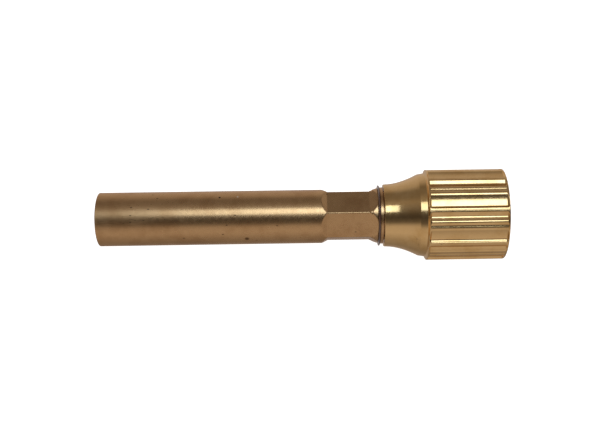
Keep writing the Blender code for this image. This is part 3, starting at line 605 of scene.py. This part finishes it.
def make_floor():
    """A white floor that glows just to white, so it takes hardly any shadow."""
    size = FLOOR_HALF
    mesh = bpy.data.meshes.new("floor")
    mesh.from_pydata([(-size, -size, 0), (size, -size, 0), (size, size, 0), (-size, size, 0)],
                     [], [(0, 1, 2, 3)])
    floor = bpy.data.objects.new("floor", mesh)
    bpy.context.scene.collection.objects.link(floor)
    floor.location.z = CAD_BOX[0].z - FLOOR_GAP
    white = bpy.data.materials.new("floor_white")
    white.use_nodes = True
    shader = white.node_tree.nodes["Principled BSDF"]
    shader.inputs["Base Color"].default_value = (0.9, 0.9, 0.9, 1)
    shader.inputs["Roughness"].default_value = 0.9
    shader.inputs["Emission Color"].default_value = (1, 1, 1, 1)
    shader.inputs["Emission Strength"].default_value = 1.0
    mesh.materials.append(white)
    floor.visible_glossy = False
    floor.visible_diffuse = False


VIEW_ELEVATION = 83.0
VIEW_YAW = 0.7
VIEW_ROLL = -0.85
VIEW_DISTANCE = 0.350
VIEW_ASIDE = 0.010           # how far right of the object's middle it stands
LENS = 56.03
SENSOR = 36.0
NEAREST = 0.01               # where the camera starts to see
AIM_RIGHT = -0.0006          # the aim, from the object's middle
AIM_UP = 0.0008


def view_axes():
    """Right, up and back (towards the camera) as the main camera sees them."""
    elevation = radians(VIEW_ELEVATION)
    back = Vector((0, -cos(elevation), sin(elevation)))
    right = Vector((1, 0, 0))
    up = back.cross(right)
    yaw = Matrix.Rotation(radians(-VIEW_YAW), 3, up)
    back = yaw @ back
    right = yaw @ right
    roll = Matrix.Rotation(radians(VIEW_ROLL), 3, back)
    return roll @ right, roll @ up, back


def make_camera():
    right, up, back = view_axes()
    data = bpy.data.cameras.new("camera")
    data.sensor_width = SENSOR
    data.lens = LENS
    data.clip_start = NEAREST
    data.shift_x = -VIEW_ASIDE / VIEW_DISTANCE * LENS / data.sensor_width
    camera = bpy.data.objects.new("camera", data)
    bpy.context.scene.collection.objects.link(camera)
    aim = right * (VIEW_ASIDE + AIM_RIGHT) + up * AIM_UP
    camera.matrix_world = Matrix.Translation(aim + back * VIEW_DISTANCE) @ Matrix((
        (right.x, up.x, back.x, 0), (right.y, up.y, back.y, 0),
        (right.z, up.z, back.z, 0), (0, 0, 0, 1)))
    bpy.context.scene.camera = camera


KEY_AROUND = 23.5            # degrees from the camera towards the picture's top
KEY_DISTANCE = 0.5
KEY_WIDTH = 0.20
KEY_COLOUR = (0.95, 1.12, 1.30)
# name, degrees towards the picture's right, length, radiance
KEYS = (("key", 13, 0.28, 2.2), ("key_left", -9.5, 0.12, 1.4))


def add_softbox(name, along, length, radiance):
    """A long soft light over the object, facing its middle."""
    _, up, back = view_axes()
    across = Vector((1, 0, 0))
    place = back * cos(radians(KEY_AROUND)) + up * sin(radians(KEY_AROUND))
    place *= cos(radians(along))
    place += across * sin(radians(along))
    data = bpy.data.lights.new(name, "AREA")
    data.shape = "RECTANGLE"
    data.size = length
    data.size_y = KEY_WIDTH
    data.energy = radiance * pi * KEY_WIDTH * length
    data.color = KEY_COLOUR
    lamp = bpy.data.objects.new(name, data)
    bpy.context.scene.collection.objects.link(lamp)
    lamp.location = place * KEY_DISTANCE
    side = across - place * across.dot(place)
    side.normalize()
    other = place.cross(side)
    lamp.matrix_world = Matrix.Translation(lamp.location) @ Matrix((
        (side.x, other.x, place.x, 0), (side.y, other.y, place.y, 0),
        (side.z, other.z, place.z, 0), (0, 0, 0, 1)))


# angle from the camera towards the top of the picture, and brightness
WORLD_STOPS = (
    (-180, 0.42), (-130, 0.23), (-100, 0.31), (-65, 0.48), (-40, 0.44), (-26, 0.11),
    (-8, 0.045), (4, 0.08), (45, 0.27), (62, 0.18), (85, 0.17), (105, 0.38),
    (140, 0.50), (180, 0.42),
)
WORLD_TINT = (1.0, 0.87, 0.80)


def make_world():
    """A grey studio, brighter below and dark where the camera stands.

    The camera itself sees plain white behind the object.
    """
    world = bpy.data.worlds.new("studio")
    bpy.context.scene.world = world
    world.use_nodes = True
    tree = world.node_tree
    background = tree.nodes["Background"]
    _, up, back = view_axes()
    coordinates = tree.nodes.new("ShaderNodeTexCoord")
    dots = []
    for axis in (up, back):
        dot = tree.nodes.new("ShaderNodeVectorMath")
        dot.operation = "DOT_PRODUCT"
        tree.links.new(coordinates.outputs["Generated"], dot.inputs[0])
        dot.inputs[1].default_value = axis
        dots.append(dot.outputs["Value"])
    angle = tree.nodes.new("ShaderNodeMath")
    angle.operation = "ARCTAN2"
    tree.links.new(dots[0], angle.inputs[0])
    tree.links.new(dots[1], angle.inputs[1])
    place = tree.nodes.new("ShaderNodeMapRange")
    tree.links.new(angle.outputs[0], place.inputs["Value"])
    place.inputs["From Min"].default_value = -pi
    place.inputs["From Max"].default_value = pi
    ramp = tree.nodes.new("ShaderNodeValToRGB")
    tree.links.new(place.outputs["Result"], ramp.inputs["Fac"])
    tree.links.new(ramp.outputs["Color"], background.inputs["Color"])
    elements = ramp.color_ramp.elements
    while len(elements) < len(WORLD_STOPS):
        elements.new(0.5)
    for element, (degrees_round, grey) in zip(elements, WORLD_STOPS):
        element.position = 0.5 + degrees_round / 360
        element.color = (*[grey * share for share in WORLD_TINT], 1)
    background.inputs["Strength"].default_value = 1.0
    backdrop = tree.nodes.new("ShaderNodeBackground")
    backdrop.inputs["Color"].default_value = (1, 1, 1, 1)
    seen = tree.nodes.new("ShaderNodeLightPath")
    choose = tree.nodes.new("ShaderNodeMixShader")
    tree.links.new(seen.outputs["Is Camera Ray"], choose.inputs["Fac"])
    tree.links.new(background.outputs["Background"], choose.inputs[1])
    tree.links.new(backdrop.outputs["Background"], choose.inputs[2])
    tree.links.new(choose.outputs["Shader"], tree.nodes["World Output"].inputs["Surface"])


make_floor()
make_camera()
make_world()
for light in KEYS:
    add_softbox(*light)
bpy.context.scene.view_settings.view_transform = "Standard"
